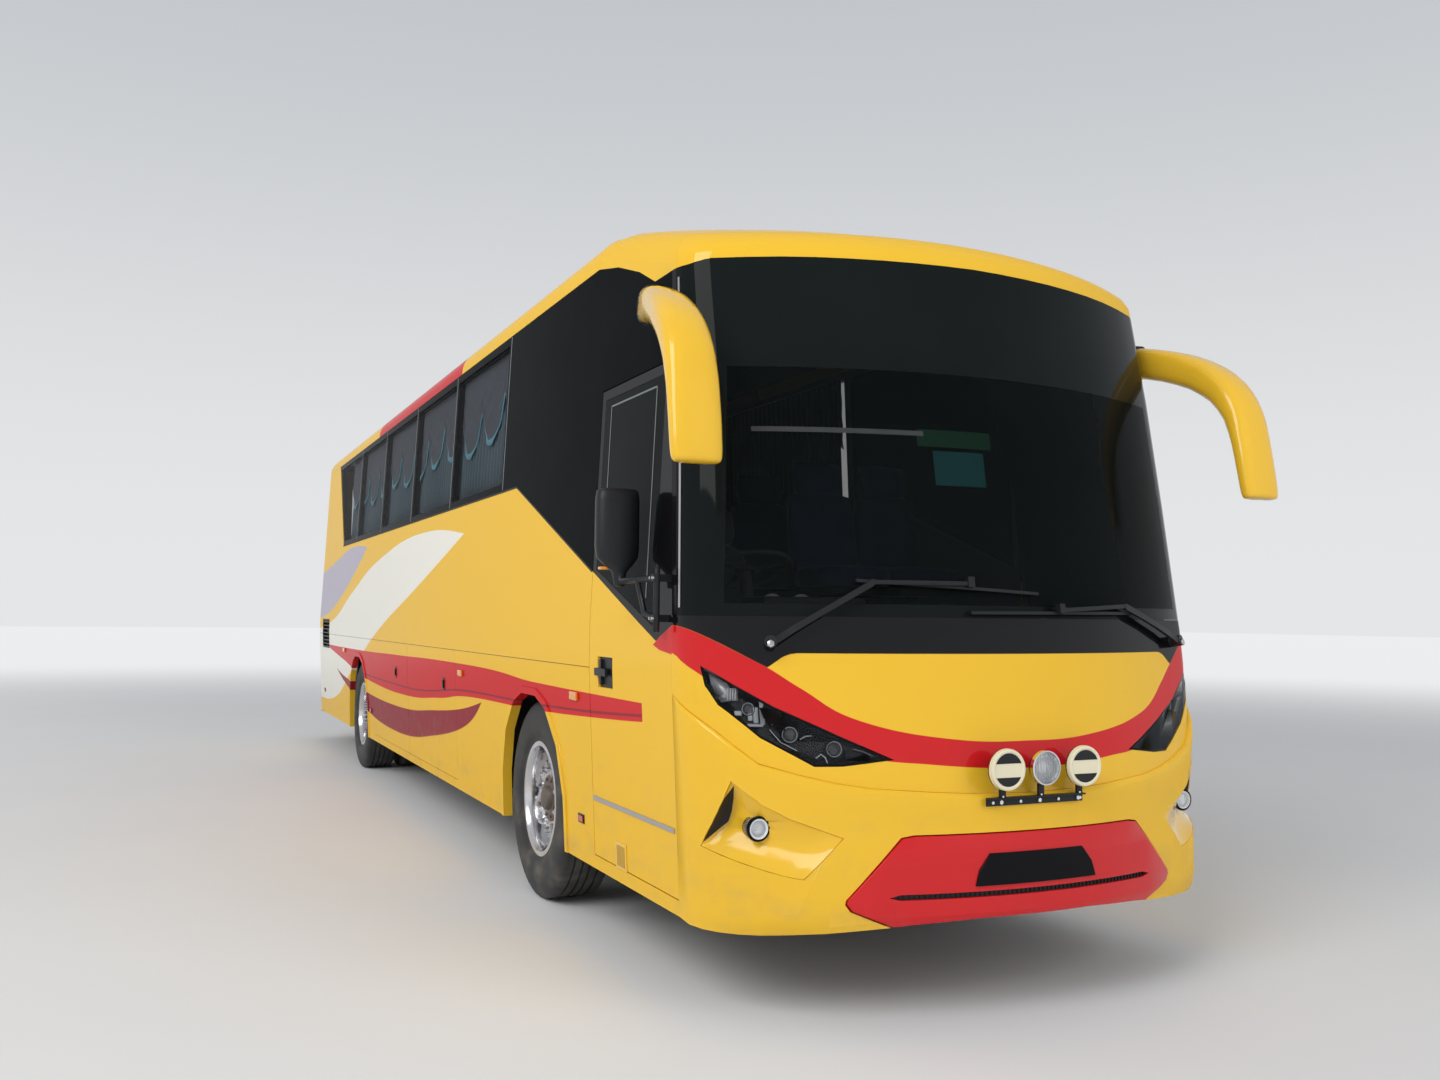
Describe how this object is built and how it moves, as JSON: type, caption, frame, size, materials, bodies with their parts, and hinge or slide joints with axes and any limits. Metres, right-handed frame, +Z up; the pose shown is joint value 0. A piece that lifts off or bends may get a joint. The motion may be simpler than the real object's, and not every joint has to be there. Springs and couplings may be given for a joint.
{
  "type": "airport passenger coach",
  "caption": "Airport passenger coach on two axles with twin rear wheels: windowed hollow cabin with seats, hinged front doors, luggage flaps and engine lid.",
  "frame": {"origin": "on the ground under the middle of the overall box", "axes": "+X forward, +Y to the coach's left, +Z up"},
  "size_m": [12, 2.91, 3.42],
  "materials": {
    "body_yellow": "gloss paint",
    "body_red": "gloss paint",
    "chassis_black": "matt paint",
    "rubber_black": "matt",
    "engine_iron": "cast",
    "tyre_black": "matt",
    "rim_chrome": "polished",
    "floor_grey": "matt",
    "gloss_black": "gloss",
    "clear_glass": "clear",
    "dark_glass": "dark tint",
    "lamp_clear": "clear lens",
    "lamp_cream": "matt cover",
    "lamp_red": "gloss",
    "lamp_amber": "gloss",
    "interior_grey": "matt",
    "seat_blue": "woven"
  },
  "bodies": {
    "coach": {"chassis_frame": "chassis_black", "floor_posts": "chassis_black", "front_axle": "chassis_black", "rear_axle": "chassis_black", "air_springs": "rubber_black", "engine_block": "engine_iron", "floor_deck": "floor_grey", "entrance_steps": "floor_grey", "wheel_tubs": "chassis_black", "luggage_hold": "floor_grey", "right_side": "body_yellow", "left_side": "body_yellow", "roof_skin": "body_yellow", "roof_dome": "body_yellow", "rear_dome": "body_yellow", "front_fascia": "body_yellow", "front_bumper": "body_yellow", "bumper_insert": "body_red", "number_plate": "gloss_black", "screen_frame": "gloss_black", "rear_wall": "body_yellow", "rear_bumper": "body_yellow", "windscreen": "clear_glass", "right_glass": "dark_glass", "left_glass": "dark_glass", "rear_window": "dark_glass", "headlamps": "lamp_clear", "fog_lamps": "lamp_clear", "driving_lamps": "lamp_cream", "tail_lamps": "lamp_red", "marker_lamps": "lamp_amber", "wipers": "rubber_black", "front_mirrors": "body_yellow", "side_grilles": "gloss_black", "dashboard": "interior_grey", "steering_wheel": "interior_grey", "driver_seat": "seat_blue", "passenger_seats": "seat_blue"},
    "steer_right": {"knuckle_right": "chassis_black"},
    "steer_left": {"knuckle_left": "chassis_black"},
    "wheel_front_right": {"front_tyre_right": "tyre_black", "front_rim_right": "rim_chrome"},
    "wheel_front_left": {"front_tyre_left": "tyre_black", "front_rim_left": "rim_chrome"},
    "wheel_rear_right": {"rear_tyres_right": "tyre_black", "rear_rims_right": "rim_chrome"},
    "wheel_rear_left": {"rear_tyres_left": "tyre_black", "rear_rims_left": "rim_chrome"},
    "driver_door": {"driver_door": "body_yellow", "driver_door_glass": "clear_glass", "door_mirror": "gloss_black", "door_handle": "gloss_black"},
    "passenger_door": {"passenger_door": "body_yellow", "passenger_door_glass": "clear_glass"},
    "flap_right_front": {"flap_right_front": "body_yellow"},
    "flap_right_rear": {"flap_right_rear": "body_yellow"},
    "flap_left_front": {"flap_left_front": "body_yellow"},
    "flap_left_rear": {"flap_left_rear": "body_yellow"},
    "engine_lid": {"engine_lid": "body_yellow"}
  },
  "joints": [
    {"name": "steer_right", "type": "hinge", "parent": "coach", "child": "steer_right", "pos_m": [3.32, -0.89, 0.515], "axis": [0, 0, 1], "range_deg": [-40, 40]},
    {"name": "steer_left", "type": "hinge", "parent": "coach", "child": "steer_left", "pos_m": [3.32, 0.89, 0.515], "axis": [0, 0, 1], "range_deg": [-40, 40]},
    {"name": "wheel_front_right", "type": "hinge", "parent": "steer_right", "child": "wheel_front_right", "pos_m": [3.32, -1.05, 0.515], "axis": [0, 1, 0], "continuous": true},
    {"name": "wheel_front_left", "type": "hinge", "parent": "steer_left", "child": "wheel_front_left", "pos_m": [3.32, 1.05, 0.515], "axis": [0, 1, 0], "continuous": true},
    {"name": "wheel_rear_right", "type": "hinge", "parent": "coach", "child": "wheel_rear_right", "pos_m": [-2.73, -1.05, 0.515], "axis": [0, 1, 0], "continuous": true},
    {"name": "wheel_rear_left", "type": "hinge", "parent": "coach", "child": "wheel_rear_left", "pos_m": [-2.73, 1.05, 0.515], "axis": [0, 1, 0], "continuous": true},
    {"name": "driver_door", "type": "hinge", "parent": "coach", "child": "driver_door", "pos_m": [5.33, -1.25, 1.4], "axis": [0, 0, 1], "range_deg": [0, 75]},
    {"name": "passenger_door", "type": "hinge", "parent": "coach", "child": "passenger_door", "pos_m": [5.33, 1.25, 1.4], "axis": [0, 0, -1], "range_deg": [0, 75]},
    {"name": "flap_right_front", "type": "hinge", "parent": "coach", "child": "flap_right_front", "pos_m": [0.705, -1.25, 1.25], "axis": [-1, 0, 0], "range_deg": [0, 85]},
    {"name": "flap_right_rear", "type": "hinge", "parent": "coach", "child": "flap_right_rear", "pos_m": [-0.995, -1.25, 1.25], "axis": [-1, 0, 0], "range_deg": [0, 85]},
    {"name": "flap_left_front", "type": "hinge", "parent": "coach", "child": "flap_left_front", "pos_m": [0.705, 1.25, 1.25], "axis": [1, 0, 0], "range_deg": [0, 85]},
    {"name": "flap_left_rear", "type": "hinge", "parent": "coach", "child": "flap_left_rear", "pos_m": [-0.995, 1.25, 1.25], "axis": [1, 0, 0], "range_deg": [0, 85]},
    {"name": "engine_lid", "type": "hinge", "parent": "coach", "child": "engine_lid", "pos_m": [-5.988, 0, 1.24], "axis": [0, 1, 0], "range_deg": [0, 80]}
  ],
  "couplings": [
    {"joint": "steer_left", "follows": "steer_right", "ratio": 1}
  ]
}
